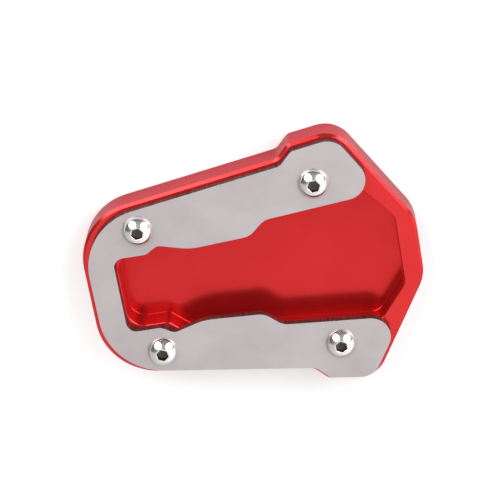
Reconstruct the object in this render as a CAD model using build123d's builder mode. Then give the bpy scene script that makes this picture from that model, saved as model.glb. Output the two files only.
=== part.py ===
"""Kickstand foot enlarger: a milled shoe that is clamped onto the foot of a motorbike's side stand.

The shoe lies on its flat underside with Z up. X runs along it, from the narrow heel to the broad nose, and
both sides of X are alike. The stand's foot drops into a pocket in the top, and a steel plate that is open
towards the nose is screwed down over the foot's edges.
"""
import os
from math import cos, radians, tan

from build123d import *

# Shoe: outline across its sharp corners, and the radii that round them
body_length = 114.0
body_thickness = 12.0
heel_width = 57.2
side_taper = 8.3
step_height = 3.8
step_slope = 45.0
lobe_flank = 16.6
nose_width = 21.6
nose_slope = 58.4
heel_radius = 21.0
step_foot_radius = 4.0
step_head_radius = 3.0
lobe_radius = 10.3
nose_radius = 15.0
top_chamfer = 0.85
bottom_chamfer = 0.5

# Pocket for the stand's foot: a slot at the heel that flares to long side walls and closes in at the nose
floor_thickness = 3.0
heel_wall = 11.4
nose_wall = 6.9
slot_width = 26.2
slot_length = 13.4
flare_slope = 41.5
shoulder_width = 38.8
pocket_width = 50.0
pocket_nose_width = 24.5
pocket_nose_slope = 50.6
pocket_radius = 6.0
slot_mouth_radius = 3.0
pocket_nose_radius = 4.5
floor_fillet = 0.25
rim_break = 0.25

# Clamp plate: its margin to the shoe's edge, and how its opening stands clear of the pocket or over it
plate_thickness = 3.0
plate_margin = 1.8
plate_heel_radius = 21.8
plate_lobe_radius = 7.0
slot_reveal = 0.55
slot_corner_radius = 3.4
notch_from_slot = 11.0
notch_run = 4.2
notch_depth = 2.6
notch_radius = 3.5
tongue_lead = 10.8
tongue_length = 20.6
tongue_gap = 26.4
tongue_taper = 3.3
tongue_radius = 20.0
arm_step_run = 5.8
arm_step_radius = 6.0
arm_overlap = 2.8
arm_end_radius = 7.0

# Four M6 button-head screws with a hexagon socket, and the tapped holes that hold them
thread_diameter = 6.0
thread_clearance = 0.05
plate_hole_clearance = 0.3
head_diameter = 10.5
head_height = 3.3
head_rim = 0.45
head_flat_diameter = 5.6
dome_radius = 5.7
socket_width = 4.0
socket_depth = 2.1
socket_point_angle = 120.0
tip_chamfer = 0.6
heel_screw_from_heel = 21.3
heel_screw_from_slot = 9.5
lobe_screw_behind_lobe = 10.1
lobe_screw_from_pocket = 5.8
socket_turns = (8.0, 38.0, 4.0, 30.0)
hole_floor = 3.0
hole_runout = 2.0
drill_point_angle = 118.0

os.makedirs("parts", exist_ok=True)

heel_x = -body_length / 2
nose_x = body_length / 2
plate_top = body_thickness + plate_thickness


def rise(angle):
    """Rise over run of an edge at this angle to the long axis."""
    return tan(radians(angle))


def point_height(radius, angle):
    """Height of a drilled point of this included angle."""
    return radius / tan(radians(angle / 2))


# The shoe's outline, from the heel round one side: a taper, a step out to a lobe, a slope to the nose
def side_half_width(x):
    """Half the shoe's width on the tapered sides behind the step."""
    return heel_width / 2 + (x - heel_x) * rise(side_taper)


step_offset = step_height / cos(radians(side_taper))
step_run = step_offset / (rise(step_slope) - rise(side_taper))
nose_slope_gain = nose_width / 2 + body_length * rise(nose_slope) - heel_width / 2 - step_offset
lobe_x = heel_x + nose_slope_gain / (rise(nose_slope) + rise(side_taper))
step_head_x = lobe_x - lobe_flank
step_foot_x = step_head_x - step_run
outline_corners = (
    (heel_x, 0),
    (heel_x, heel_width / 2),
    (step_foot_x, side_half_width(step_foot_x)),
    (step_head_x, side_half_width(step_head_x) + step_offset),
    (lobe_x, side_half_width(lobe_x) + step_offset),
    (nose_x, nose_width / 2),
    (nose_x, 0),
)

# The pocket's outline on the same side
slot_x = heel_x + heel_wall
slot_mouth_x = slot_x + slot_length
shoulder_x = slot_mouth_x + (shoulder_width - slot_width) / 2 / rise(flare_slope)
pocket_end_x = nose_x - nose_wall
pocket_corner_x = pocket_end_x - (pocket_width - pocket_nose_width) / 2 / rise(pocket_nose_slope)
wall_rise = (pocket_width - shoulder_width) / 2 / (pocket_corner_x - shoulder_x)
pocket_corners = (
    (slot_x, 0),
    (slot_x, slot_width / 2),
    (slot_mouth_x, slot_width / 2),
    (shoulder_x, shoulder_width / 2),
    (pocket_corner_x, pocket_width / 2),
    (pocket_end_x, pocket_nose_width / 2),
    (pocket_end_x, 0),
)


def pocket_half_width(x):
    """Half the pocket's width between its long side walls."""
    return shoulder_width / 2 + (x - shoulder_x) * wall_rise


# The plate's opening on the same side: clear of the slot, a notch, a tongue over the foot, then an arm
opening_x = slot_x - slot_reveal
opening_half_width = slot_width / 2 + slot_reveal
notch_x = slot_x + notch_from_slot
notch_peak_x = notch_x + notch_run
tongue_x = notch_peak_x + tongue_lead
tongue_end_x = tongue_x + tongue_length
tongue_end_half_gap = tongue_gap / 2 + tongue_length * rise(tongue_taper)
arm_x = tongue_end_x + arm_step_run
opening_corners = (
    (opening_x, 0),
    (opening_x, opening_half_width),
    (notch_x, opening_half_width),
    (notch_peak_x, opening_half_width + notch_depth),
    (tongue_x, tongue_gap / 2),
    (tongue_end_x, tongue_end_half_gap),
    (arm_x, pocket_half_width(arm_x) - arm_overlap),
    (nose_x, pocket_half_width(nose_x) - arm_overlap),
)
opening_radii = (
    slot_corner_radius,
    notch_radius,
    notch_radius,
    tongue_radius,
    arm_step_radius,
    arm_step_radius,
)

# Screw axes, outside the pocket's walls by the metal that the threads need
heel_screw_x = heel_x + heel_screw_from_heel
heel_screw_y = slot_width / 2 + heel_screw_from_slot
lobe_screw_x = lobe_x - lobe_screw_behind_lobe
lobe_screw_y = pocket_half_width(lobe_screw_x) + lobe_screw_from_pocket
screw_axes = (
    (heel_screw_x, heel_screw_y),
    (heel_screw_x, -heel_screw_y),
    (lobe_screw_x, lobe_screw_y),
    (lobe_screw_x, -lobe_screw_y),
)
hole_depth = body_thickness - hole_floor
screw_length = plate_thickness + hole_depth - hole_runout

# Shoe: one block of aluminium, profiled and pocketed, with its outer edges chamfered
with BuildPart() as foot_body:
    with BuildSketch():
        with BuildLine():
            FilletPolyline(
                *outline_corners,
                radius=(heel_radius, step_foot_radius, step_head_radius, lobe_radius, nose_radius),
            )
            mirror(about=Plane.XZ)
        make_face()
    extrude(amount=body_thickness)
    chamfer(foot_body.faces().sort_by(Axis.Z)[-1].edges(), length=top_chamfer)
    chamfer(foot_body.faces().sort_by(Axis.Z)[0].edges(), length=bottom_chamfer)
    with BuildSketch(Plane.XY.offset(floor_thickness)):
        with BuildLine():
            FilletPolyline(
                *pocket_corners,
                radius=(pocket_radius, slot_mouth_radius, pocket_radius, pocket_radius, pocket_nose_radius),
            )
            mirror(about=Plane.XZ)
        make_face()
    extrude(amount=body_thickness - floor_thickness, mode=Mode.SUBTRACT)
    pocket_rim = foot_body.faces().sort_by(Axis.Z)[-1].inner_wires()[0]
    chamfer(pocket_rim.edges(), length=rim_break)
    pocket_floor = foot_body.faces().filter_by(Plane.XY).sort_by(Axis.Z)[1]
    fillet(pocket_floor.edges(), radius=floor_fillet)
    hole_radius = thread_diameter / 2 + thread_clearance
    with Locations(Plane.XY.offset(body_thickness)):
        with Locations(*screw_axes):
            Hole(radius=hole_radius, depth=hole_depth)
    with Locations(Plane.XY.offset(hole_floor)):
        with Locations(*screw_axes):
            Cone(
                bottom_radius=0,
                top_radius=hole_radius,
                height=point_height(hole_radius, drill_point_angle),
                align=(Align.CENTER, Align.CENTER, Align.MAX),
                mode=Mode.SUBTRACT,
            )
foot_body.part.label = "foot_body"
export_step(foot_body.part, "parts/foot_body.step")

# Clamp plate: laser-cut sheet, a little smaller than the shoe all round and open at the nose
with BuildPart() as clamp_plate:
    with BuildSketch(Plane.XY.offset(body_thickness)) as plate_outline:
        with BuildLine():
            Polyline(*outline_corners)
            mirror(about=Plane.XZ)
        make_face()
        offset(amount=-plate_margin, kind=Kind.INTERSECTION)
        fillet(plate_outline.vertices().group_by(Axis.X)[-2], radius=plate_lobe_radius)
        fillet(plate_outline.vertices().group_by(Axis.X)[2], radius=step_head_radius)
        fillet(plate_outline.vertices().group_by(Axis.X)[1], radius=step_foot_radius)
        fillet(plate_outline.vertices().group_by(Axis.X)[0], radius=plate_heel_radius)
        with BuildLine() as opening:
            FilletPolyline(*opening_corners, radius=opening_radii)
            mirror(about=Plane.XZ)
            Line(opening.vertices().group_by(Axis.X)[-1])
        make_face(mode=Mode.SUBTRACT)
        fillet(plate_outline.vertices().group_by(Axis.X)[-1], radius=arm_end_radius)
        with Locations(*screw_axes):
            Circle(thread_diameter / 2 + plate_hole_clearance, mode=Mode.SUBTRACT)
    extrude(amount=plate_thickness)
clamp_plate.part.label = "clamp_plate"
export_step(clamp_plate.part, "parts/clamp_plate.step")

# One button-head screw, its head's bearing face at Z zero
with BuildPart() as screw:
    with BuildSketch(Plane.XZ):
        with BuildLine():
            Polyline(
                (head_diameter / 2, head_rim),
                (head_diameter / 2, 0),
                (thread_diameter / 2, 0),
                (thread_diameter / 2, tip_chamfer - screw_length),
                (thread_diameter / 2 - tip_chamfer, -screw_length),
                (0, -screw_length),
                (0, head_height),
                (head_flat_diameter / 2, head_height),
            )
            RadiusArc((head_flat_diameter / 2, head_height), (head_diameter / 2, head_rim), dome_radius)
        make_face()
    revolve(axis=Axis.Z)
    with BuildSketch(Plane.XY.offset(head_height)):
        RegularPolygon(radius=socket_width / 2, side_count=6, major_radius=False)
    extrude(amount=-socket_depth, mode=Mode.SUBTRACT)
    with Locations((0, 0, head_height - socket_depth)):
        Cone(
            bottom_radius=0,
            top_radius=socket_width / 2,
            height=point_height(socket_width / 2, socket_point_angle),
            align=(Align.CENTER, Align.CENTER, Align.MAX),
            mode=Mode.SUBTRACT,
        )

# The four screws seated on the plate, each stopped at its own turn
with BuildPart() as button_head_screws:
    for (x, y), turn in zip(screw_axes, socket_turns):
        with Locations(Location((x, y, plate_top), (0, 0, turn))):
            add(screw.part)
button_head_screws.part.label = "button_head_screws"
export_step(button_head_screws.part, "parts/button_head_screws.step")
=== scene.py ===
"""Kickstand foot enlarger in the studio: a red anodised shoe, a stainless plate and four polished screws.

Everything is in metres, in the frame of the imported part: it lies on its flat underside with Z up, and
X runs from the narrow heel to the broad nose.
"""

import math

import bmesh
import bpy
from mathutils import Matrix, Vector


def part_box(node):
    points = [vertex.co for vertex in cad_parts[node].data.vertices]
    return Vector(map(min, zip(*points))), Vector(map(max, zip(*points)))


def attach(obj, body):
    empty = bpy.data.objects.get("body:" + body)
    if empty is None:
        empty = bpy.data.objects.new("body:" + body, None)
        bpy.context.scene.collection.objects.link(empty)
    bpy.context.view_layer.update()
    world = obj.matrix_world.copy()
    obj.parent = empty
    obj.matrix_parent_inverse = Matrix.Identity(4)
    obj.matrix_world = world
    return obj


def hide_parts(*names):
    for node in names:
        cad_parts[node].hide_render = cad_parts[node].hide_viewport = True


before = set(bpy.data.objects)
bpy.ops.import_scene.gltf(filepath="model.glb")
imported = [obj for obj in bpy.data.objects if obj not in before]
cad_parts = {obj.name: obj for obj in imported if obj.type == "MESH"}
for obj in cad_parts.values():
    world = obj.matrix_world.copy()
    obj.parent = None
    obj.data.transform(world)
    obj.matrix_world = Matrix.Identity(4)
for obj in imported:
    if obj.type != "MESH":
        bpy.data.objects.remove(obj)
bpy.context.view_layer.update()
bpy.context.scene.view_settings.view_transform = "Standard"

# Shoe: one block of aluminium, profiled and pocketed on a mill, then blasted and anodised red.
# Its flat underside stands on the ground, and its pocket takes the foot of the side stand.
mm = 0.001
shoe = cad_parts["foot_body"]
shoe_edge_break = 0.06 * mm
# Below these heights the red is painted darker: painted shade in the pocket and at the foot of the walls.
painted_shade_full_below = 3.5 * mm
painted_shade_gone_above = 11.0 * mm
shaded_pocket_reds = ((0.58, 0.0225, 0.0235, 1), (0.62, 0.026, 0.027, 1))
rim_reds = ((0.67, 0.031, 0.0325, 1), (0.705, 0.035, 0.0365, 1))
red_metalness = 0.85
red_edge_tint = (0.95, 0.80, 0.86, 1)
red_roughness = (0.17, 0.23)
dye_clouds = {"scale": (70, 70, 70), "detail": 3.0}
blasted_grains = {"scale": (3500, 3500, 3500), "detail": 1.0}
blasted_depth = 0.003 * mm
cutter_lines = {"scale": (25, 25, 2600)}
cutter_line_depth = 0.004 * mm
wall_flatness = (0.2, 0.6)


def break_edges(piece, width, weld_reach=0.001 * mm, flat_angle=0.3, sharp_angle=25.0, steps=3):
    """Join a piece's faces and round its sharp edges a little, as deburring does. Angles are in degrees."""
    piece.data.shade_smooth()
    joined = piece.modifiers.new("joined_faces", "WELD")
    joined.merge_threshold = weld_reach
    flats = piece.modifiers.new("whole_flats", "DECIMATE")
    flats.decimate_type = "DISSOLVE"
    flats.angle_limit = math.radians(flat_angle)
    edges = piece.modifiers.new("broken_edges", "BEVEL")
    edges.width = width
    edges.segments = steps
    edges.limit_method = "ANGLE"
    edges.angle_limit = math.radians(sharp_angle)
    shading = piece.modifiers.new("even_shading", "WEIGHTED_NORMAL")
    shading.keep_sharp = False


def new_finish(name):
    """A new material with only its principled shader and its output, and that shader."""
    finish = bpy.data.materials.new(name)
    finish.use_nodes = True
    return finish, finish.node_tree.nodes["Principled BSDF"]


def link(finish, socket, node, name):
    """Link a socket to a node's input."""
    finish.node_tree.links.new(socket, node.inputs[name])


def add_node(finish, kind, inputs, **settings):
    """Add a shader node to a finish, with numbers set on its inputs and sockets linked to them."""
    made = finish.node_tree.nodes.new(kind)
    for name, value in settings.items():
        setattr(made, name, value)
    for name, value in inputs.items():
        if isinstance(value, bpy.types.NodeSocket):
            link(finish, value, made, name)
        else:
            made.inputs[name].default_value = value
    return made


def calculate(finish, operation, *values):
    """Numbers and sockets worked into one number, such as their product or the larger of two."""
    return add_node(finish, "ShaderNodeMath", dict(enumerate(values)), operation=operation).outputs[0]


def along(finish, vector, axis):
    """How far a vector runs along one axis."""
    return add_node(finish, "ShaderNodeSeparateXYZ", {"Vector": vector}).outputs[axis]


def grain(finish, scale, detail=2.0, roughness=0.5):
    """A noise with this many grains to the metre along each axis of the piece."""
    place = add_node(finish, "ShaderNodeTexCoord", {})
    spread = add_node(finish, "ShaderNodeMapping", {"Vector": place.outputs["Object"], "Scale": scale})
    texture = add_node(
        finish,
        "ShaderNodeTexNoise",
        {"Vector": spread.outputs["Vector"], "Scale": 1.0, "Detail": detail, "Roughness": roughness},
    )
    return texture.outputs["Fac"]


def between(finish, factor, ends, factor_range=(0.3, 0.7), blend="LINEAR"):
    """A number that runs from one end to the other over the factor's range, by default that of a noise."""
    spread = add_node(
        finish,
        "ShaderNodeMapRange",
        {
            "Value": factor,
            "From Min": factor_range[0],
            "From Max": factor_range[1],
            "To Min": ends[0],
            "To Max": ends[1],
        },
        interpolation_type=blend,
    )
    return spread.outputs["Result"]


def tint(finish, factor, first, second):
    """A colour that runs from the first to the second with the factor, by the mix node's colour sockets."""
    return add_node(finish, "ShaderNodeMix", {0: factor, 6: first, 7: second}, data_type="RGBA").outputs[2]


def how_high(finish, low, high):
    """How high a point of the piece lies: 0 at the low height and below, 1 at the high one and above."""
    place = add_node(finish, "ShaderNodeTexCoord", {})
    return between(finish, along(finish, place.outputs["Object"], "Z"), (0.0, 1.0), (low, high))


def how_level(finish):
    """How level the surface is: 1 on top and below, 0 on upright walls."""
    surface = add_node(finish, "ShaderNodeNewGeometry", {})
    return calculate(finish, "ABSOLUTE", along(finish, surface.outputs["Normal"], "Z"))


def bumps(finish, height, depth, below=None):
    """A surface raised by the height times this depth, on top of another such surface."""
    relief = add_node(finish, "ShaderNodeBump", {"Height": height, "Distance": depth, "Strength": 1.0})
    if below is not None:
        link(finish, below, relief, "Normal")
    return relief.outputs["Normal"]


def anodised_red():
    """Dyed oxide on blasted aluminium: a deep satin red, with painted shade that darkens it in the pocket
    and at the foot of the walls.
    """
    finish, shader = new_finish("red_anodised_aluminium")
    cloud = between(finish, grain(finish, **dye_clouds), (0.0, 1.0))
    shaded_pocket_red = tint(finish, cloud, *shaded_pocket_reds)
    rim_red = tint(finish, cloud, *rim_reds)
    # Painted shade: the red runs darker low down, in the pocket and at the foot of the walls.
    above_painted_shade = how_high(finish, painted_shade_full_below, painted_shade_gone_above)
    link(finish, tint(finish, above_painted_shade, shaded_pocket_red, rim_red), shader, "Base Color")
    blasted = grain(finish, **blasted_grains)
    link(finish, between(finish, blasted, red_roughness), shader, "Roughness")
    shader.inputs["Metallic"].default_value = red_metalness
    shader.inputs["Specular Tint"].default_value = red_edge_tint
    upright = between(finish, how_level(finish), (1.0, 0.0), wall_flatness)
    lines = calculate(finish, "MULTIPLY", grain(finish, **cutter_lines), upright)
    relief = bumps(finish, lines, cutter_line_depth, below=bumps(finish, blasted, blasted_depth))
    link(finish, relief, shader, "Normal")
    return finish


break_edges(shoe, shoe_edge_break)
shoe.data.materials[0] = anodised_red()

# Clamp plate: stainless sheet, laser cut to a C that is open towards the nose.
# It lies on the shoe, a little inside its edge, and its tongues and arms reach over the stand's foot.
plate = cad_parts["clamp_plate"]
plate_edge_break = 0.09 * mm
sheet_greys = ((0.478, 0.428, 0.438, 1), (0.558, 0.506, 0.513, 1))
burnt_browns = ((0.10, 0.075, 0.07, 1), (0.25, 0.20, 0.19, 1))
sheet_edge_tint = (0.7, 0.7, 0.7, 1)
sheet_roughness = (0.54, 0.46)
sheet_clouds = {"scale": (55, 75, 55), "detail": 3.0, "roughness": 0.55}
sheet_waves = {"scale": (120, 160, 120), "detail": 1.0}
wave_depth = 0.02 * mm
rolling_lines = {"scale": (60, 2200, 60)}
rolling_line_depth = 0.0012 * mm
laser_furrows = {"scale": (2600, 2600, 120)}
face_flatness = (0.80, 0.96)


def mill_finish_sheet():
    """Cold-rolled stainless: satin grey with soft clouds, fine rolling lines and dark laser-cut edges."""
    finish, shader = new_finish("stainless_sheet")
    cloud = grain(finish, **sheet_clouds)
    sheet = tint(finish, between(finish, cloud, (0.0, 1.0)), *sheet_greys)
    burnt = tint(finish, between(finish, grain(finish, **laser_furrows), (0.0, 1.0)), *burnt_browns)
    face = between(finish, how_level(finish), (0.0, 1.0), face_flatness)
    link(finish, tint(finish, face, burnt, sheet), shader, "Base Color")
    link(finish, between(finish, cloud, sheet_roughness), shader, "Roughness")
    shader.inputs["Metallic"].default_value = 1.0
    shader.inputs["Specular Tint"].default_value = sheet_edge_tint
    waves = bumps(finish, grain(finish, **sheet_waves), wave_depth)
    relief = bumps(finish, grain(finish, **rolling_lines), rolling_line_depth, below=waves)
    link(finish, relief, shader, "Normal")
    return finish


break_edges(plate, plate_edge_break)
plate.data.materials[0] = mill_finish_sheet()

# Screws: four stainless M6 button heads with hexagon sockets, cold headed, thread rolled and polished.
# They pull the plate down onto the shoe, and each one was stopped at its own turn.
head_radius = 5.25 * mm
head_height = 3.3 * mm
head_rim = 0.45 * mm
head_flat_radius = 2.3 * mm
dome_radius = 5.83 * mm
dome_steps = 28
dome_blend = 0.3 * mm
dome_blend_steps = 8
bearing_edge_radius = 0.25 * mm
bearing_edge_steps = 5
socket_half_width = 1.85 * mm
socket_chamfer = 0.05 * mm
socket_depth = 2.1 * mm
socket_point_angle = 120.0
thread_radius = 2.97 * mm
thread_depth = 0.55 * mm
thread_pitch = 1.0 * mm
thread_flank_share = 0.875
rows_per_turn = 10
neck_radius = 2.65 * mm
neck_length = 0.5 * mm
tip_chamfer = 0.6 * mm
facets = 96
crease_angle = math.radians(35)
socket_turns = {"heel_left": 8.0, "heel_right": 38.0, "lobe_left": 4.0, "lobe_right": 30.0}
steel_greys = ((0.76, 0.735, 0.735, 1), (0.82, 0.795, 0.795, 1))
steel_roughness = (0.10, 0.14)
polishing_haze = {"scale": (400, 400, 400)}
turning_rings = {"scale": (60, 60, 5000), "detail": 1.0}
turning_ring_depth = 0.0006 * mm
# Dark socket colours: partly the oil left in the socket, partly painted shade of its depth.
oil_and_shade_browns = ((0.055, 0.040, 0.034, 1), (0.15, 0.115, 0.10, 1))
socket_roughness = (0.30, 0.45)
broach_tears = {"scale": (2500, 2500, 250)}
broach_tear_depth = 0.006 * mm
polished, broached = 0, 1


def dome_profile():
    """Radius and height of the head from its bearing edge over the dome to the flat round the socket."""
    rim = Vector((head_radius, head_rim))
    crown = Vector((head_flat_radius, head_height))
    chord = crown - rim
    inward = Vector((-chord.y, chord.x)).normalized()
    centre = (rim + crown) / 2 + inward * math.sqrt(dome_radius**2 - (chord.length / 2) ** 2)
    blend_height = head_height - dome_blend
    reach = math.sqrt((dome_radius - dome_blend) ** 2 - (blend_height - centre.y) ** 2)
    blend_centre = Vector((centre.x + reach, blend_height))
    steepest = math.atan2(rim.x - centre.x, rim.y - centre.y)
    gentlest = math.atan2(reach, blend_height - centre.y)
    edge_centre = Vector((head_radius - bearing_edge_radius, bearing_edge_radius))
    arcs = (
        (edge_centre, bearing_edge_radius, math.pi, math.pi / 2, bearing_edge_steps),
        (centre, dome_radius, steepest, gentlest, dome_steps),
        (blend_centre, dome_blend, gentlest, 0.0, dome_blend_steps),
    )
    for middle, radius, first, last, steps in arcs:
        for step in range(steps + 1):
            lean = first + (last - first) * step / steps
            yield middle.x + radius * math.sin(lean), middle.y + radius * math.cos(lean)


def hexagon(half_width):
    """Distance from the axis to a hexagon's side, for each facet."""
    sixth = math.tau / 6
    return [
        half_width / math.cos((math.tau * facet / facets) % sixth - sixth / 2) for facet in range(facets)
    ]


def thread_row(height, length):
    """Distance from the axis to a rolled thread that fades out at its tip, for each facet."""
    row = []
    for facet in range(facets):
        wave = (height / thread_pitch - facet / facets) % 1.0
        crest = max(0.0, 1.0 - abs(wave - 0.5) * 2.0 / thread_flank_share)
        tip_limit = thread_radius - max(0.0, tip_chamfer - (height + length))
        row.append(min(thread_radius - thread_depth * (1.0 - crest), tip_limit))
    return row


def screw_mesh(length):
    """One screw, with its head's bearing face at height zero and its tip at minus the length."""
    shape = bmesh.new()

    def ring(radius, height):
        """Corners round the axis, at one distance from it or at one for each facet."""
        radii = radius if isinstance(radius, list) else [radius] * facets
        turns = [math.tau * facet / facets for facet in range(facets)]
        return [
            shape.verts.new((r * math.cos(a), r * math.sin(a), height)) for r, a in zip(radii, turns)
        ]

    def skin(below, above, finish=polished):
        """Faces between two rings."""
        for facet in range(facets):
            following = (facet + 1) % facets
            face = shape.faces.new((below[facet], below[following], above[following], above[facet]))
            face.material_index = finish

    def cap(edge, height, finish=polished, downward=False):
        """Faces from a ring to a point on the axis."""
        middle = shape.verts.new((0, 0, height))
        for facet in range(facets):
            pair = [edge[facet], edge[(facet + 1) % facets]]
            corners = pair[::-1] if downward else pair
            face = shape.faces.new((*corners, middle))
            face.material_index = finish

    row_height = thread_pitch / rows_per_turn
    rows = round((length - neck_length) / row_height)
    heights = [-length + row * row_height for row in range(rows)]
    shank = [ring(thread_row(height, length), height) for height in heights]
    shank.append(ring(neck_radius, heights[-1] + row_height))
    shank.append(ring(neck_radius, 0.0))
    cap(shank[0], -length, downward=True)
    head = [ring(radius, height) for radius, height in dome_profile()]
    outside = shank + head
    for below, above in zip(outside, outside[1:]):
        skin(below, above)
    mouth = ring(hexagon(socket_half_width + socket_chamfer), head_height)
    broach = ring(hexagon(socket_half_width), head_height - socket_chamfer)
    skin(head[-1], mouth)
    skin(mouth, broach)
    bottom = head_height - socket_depth
    foot = ring(hexagon(socket_half_width), bottom)
    drilled = ring(socket_half_width, bottom)
    point = bottom - socket_half_width / math.tan(math.radians(socket_point_angle / 2))
    skin(broach, foot, finish=broached)
    skin(foot, drilled, finish=broached)
    cap(drilled, point, finish=broached)
    bmesh.ops.recalc_face_normals(shape, faces=shape.faces)
    mesh = bpy.data.meshes.new("button_head_screw")
    shape.to_mesh(mesh)
    shape.free()
    mesh.shade_smooth()
    mesh.set_sharp_from_angle(angle=crease_angle)
    return mesh


def polished_steel():
    """Stainless polished bright, with the faintest rings from the tool that turned it."""
    finish, shader = new_finish("polished_stainless")
    haze = grain(finish, **polishing_haze)
    link(finish, tint(finish, between(finish, haze, (0.0, 1.0)), *steel_greys), shader, "Base Color")
    link(finish, between(finish, haze, steel_roughness), shader, "Roughness")
    shader.inputs["Metallic"].default_value = 1.0
    link(finish, bumps(finish, grain(finish, **turning_rings), turning_ring_depth), shader, "Normal")
    return finish


def broached_socket():
    """The socket's walls, torn by the broach, and dark partly with the oil left in them and partly with
    painted shade of the deep socket.
    """
    finish, shader = new_finish("broached_socket")
    tears = grain(finish, **broach_tears)
    link(finish, tint(finish, between(finish, tears, (0.0, 1.0)), *oil_and_shade_browns), shader, "Base Color")
    link(finish, between(finish, tears, socket_roughness), shader, "Roughness")
    shader.inputs["Metallic"].default_value = 1.0
    link(finish, bumps(finish, tears, broach_tear_depth), shader, "Normal")
    return finish


screw_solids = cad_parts["button_head_screws"]
screw_low, screw_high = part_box("button_head_screws")
seat = screw_high.z - head_height
screw_form = screw_mesh(seat - screw_low.z)
screw_form.materials.append(polished_steel())
screw_form.materials.append(broached_socket())
middle = (screw_low + screw_high) / 2
for place, turn in socket_turns.items():
    own = [
        corner.co
        for corner in screw_solids.data.vertices
        if (corner.co.x > middle.x) == place.startswith("lobe")
        and (corner.co.y > middle.y) == place.endswith("left")
    ]
    axis = [(min(point[i] for point in own) + max(point[i] for point in own)) / 2 for i in (0, 1)]
    screw = bpy.data.objects.new("screw_" + place, screw_form)
    bpy.context.scene.collection.objects.link(screw)
    screw.matrix_world = Matrix.Translation((*axis, seat)) @ Matrix.Rotation(math.radians(turn), 4, "Z")
    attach(screw, "root")
    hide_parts("button_head_screws")

# Table: a wide round sheet of white board that the shoe lies on.
# It shows as white to the camera and keeps a soft shadow of the shoe.
table_radius = 4.0
table_corners = 128
table_drop = 0.02 * mm
table_glow = 0.42
table_glow_in_metal = 0.02
white = (1, 1, 1, 1)
table_shade = (0.48, 0.48, 0.48, 1)
board_white = (0.8, 0.8, 0.8, 1)


def white_board():
    """White board that glows a little where it is looked at or mirrored, and is lit by the lamps."""
    finish, shader = new_finish("white_board")
    finish.node_tree.nodes.remove(shader)
    ray = add_node(finish, "ShaderNodeLightPath", {}).outputs
    mirrored = calculate(finish, "MAXIMUM", ray["Is Glossy Ray"], ray["Is Transmission Ray"])
    seen = calculate(finish, "MAXIMUM", ray["Is Camera Ray"], mirrored)
    strength = between(finish, ray["Is Camera Ray"], (table_glow_in_metal, table_glow), (0.0, 1.0))
    glow = add_node(finish, "ShaderNodeEmission", {"Color": white, "Strength": strength})
    shade = add_node(finish, "ShaderNodeBsdfDiffuse", {"Color": table_shade})
    shown = add_node(finish, "ShaderNodeAddShader", {0: glow.outputs[0], 1: shade.outputs[0]})
    lit = add_node(finish, "ShaderNodeBsdfDiffuse", {"Color": board_white})
    board = add_node(finish, "ShaderNodeMixShader", {0: seen, 1: lit.outputs[0], 2: shown.outputs[0]})
    link(finish, board.outputs[0], finish.node_tree.nodes["Material Output"], "Surface")
    return finish


sheet = bmesh.new()
bmesh.ops.create_circle(sheet, cap_ends=True, segments=table_corners, radius=table_radius)
table_mesh = bpy.data.meshes.new("table")
sheet.to_mesh(table_mesh)
sheet.free()
table_mesh.materials.append(white_board())
table = bpy.data.objects.new("table", table_mesh)
table.location.z = -table_drop
bpy.context.scene.collection.objects.link(table)

# Camera: it looks down on the plate from above the shoe's left side, about 22 degrees off straight down.
# The lens is worked out for a picture 500 pixels square, with the plate's face at the distance the lens is
# worked out for.
view_tip = math.radians(21.75)
view_swing = math.radians(1.19)
view_turn = math.radians(9.52)
view_distance = 650.0 * mm
view_shift = Vector((1.55, -8.80, 0.0)) * mm
aim = Vector((0.261, 0.0, 15.0)) * mm
picture_pixels = 500
screw_head_pixels = 31
pixel_size = 2 * head_radius / screw_head_pixels
sensor_mm = 36.0
nearest_seen = 10.0 * mm

tipped = Matrix.Rotation(-view_swing, 3, "Y") @ Matrix.Rotation(view_tip, 3, "X")
to_view = tipped @ Matrix.Rotation(view_turn, 3, "Z")
from_view = to_view.transposed()
eye = aim + from_view @ (Vector((0, 0, view_distance)) - view_shift)
lens = bpy.data.cameras.new("camera")
lens.sensor_width = sensor_mm
lens.lens = sensor_mm * view_distance / (pixel_size * picture_pixels)
lens.clip_start = nearest_seen
camera = bpy.data.objects.new("camera", lens)
camera.matrix_world = Matrix.Translation(eye) @ from_view.to_4x4()
bpy.context.scene.collection.objects.link(camera)
bpy.context.scene.camera = camera

# Lamps: two round soft boxes behind the shoe, left and right, with a gap that shows in the screws' domes.
# They reach from near the table up to about 59 degrees, and their azimuth counts from the camera's right.
box_width = 0.70
box_height = 0.92
box_area = math.pi / 4 * box_width * box_height
box_distance = 0.9
box_lift = math.radians(32)
soft_boxes = {"soft_box_left": (133.0, 4.8), "soft_box_right": (39.5, 5.0)}


def direction(azimuth, lift):
    """The way from the shoe to a place in the studio, by degrees from the camera's right and by lift."""
    turn = math.radians(azimuth) - view_turn
    level_reach = math.cos(lift)
    return Vector((math.cos(turn) * level_reach, math.sin(turn) * level_reach, math.sin(lift)))


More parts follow.
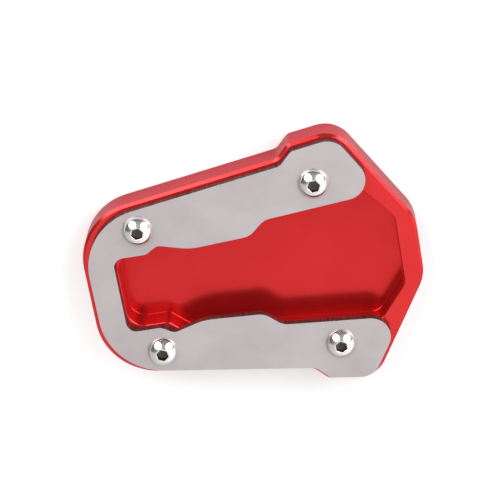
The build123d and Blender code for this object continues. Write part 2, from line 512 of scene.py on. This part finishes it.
for name, (azimuth, brightness) in soft_boxes.items():
    lamp = bpy.data.lights.new(name, "AREA")
    lamp.shape = "ELLIPSE"
    lamp.size = box_width
    lamp.size_y = box_height
    lamp.energy = brightness * math.pi * box_area
    towards = direction(azimuth, box_lift)
    facing = towards.to_track_quat("Z", "Y").to_matrix().to_4x4()
    soft_box = bpy.data.objects.new(name, lamp)
    soft_box.matrix_world = Matrix.Translation(towards * box_distance) @ facing
    soft_box.visible_camera = False
    bpy.context.scene.collection.objects.link(soft_box)

# Room: a pale studio whose ceiling and front walls are white, a little brighter on the right.
# Behind the lamps it is dim up to the ceiling's edge, and dark gear hangs right and left of the camera,
# which gives the domes and the pocket their dark bands.
room_front = 1.05
room_back = 0.16
room_back_rise = 0.42
room_turn = math.radians(-10)
room_blend = 0.12
room_slant = 0.4
ceiling_edge = 0.65
ceiling_slope = -2.0
gear_azimuths = (62.0, 182.0)
gear_lift = math.radians(68)
gear_core = math.radians(4)
gear_reach = math.radians(16)
gear_level = 0.2

room = bpy.data.worlds.new("studio")
room.use_nodes = True
bpy.context.scene.world = room
way = add_node(room, "ShaderNodeTexCoord", {}).outputs["Generated"]
room_way = add_node(
    room, "ShaderNodeMapping", {"Vector": way, "Rotation": (0, 0, view_turn + room_turn)}
).outputs["Vector"]
up = along(room, room_way, "Z")
ceiling = calculate(room, "MAXIMUM", calculate(room, "SUBTRACT", up, ceiling_edge), 0.0)
behind = calculate(room, "MULTIPLY_ADD", ceiling, ceiling_slope, along(room, room_way, "Y"))
back = calculate(room, "MULTIPLY_ADD", up, room_back_rise, room_back)
walls = between(room, behind, (room_front, back), (-room_blend, room_blend), blend="SMOOTHSTEP")
slant = calculate(room, "MULTIPLY_ADD", along(room, room_way, "X"), room_slant, 1.0)
room_light = calculate(room, "MULTIPLY", walls, slant)
gear_range = (math.cos(gear_reach), math.cos(gear_core))
for azimuth in gear_azimuths:
    towards = direction(azimuth, gear_lift)
    near = add_node(room, "ShaderNodeVectorMath", {0: way, 1: towards}, operation="DOT_PRODUCT")
    gear = between(room, near.outputs["Value"], (1.0, gear_level), gear_range, blend="SMOOTHSTEP")
    room_light = calculate(room, "MULTIPLY", room_light, gear)
background = room.node_tree.nodes["Background"]
background.inputs["Color"].default_value = white
link(room, room_light, background, "Strength")
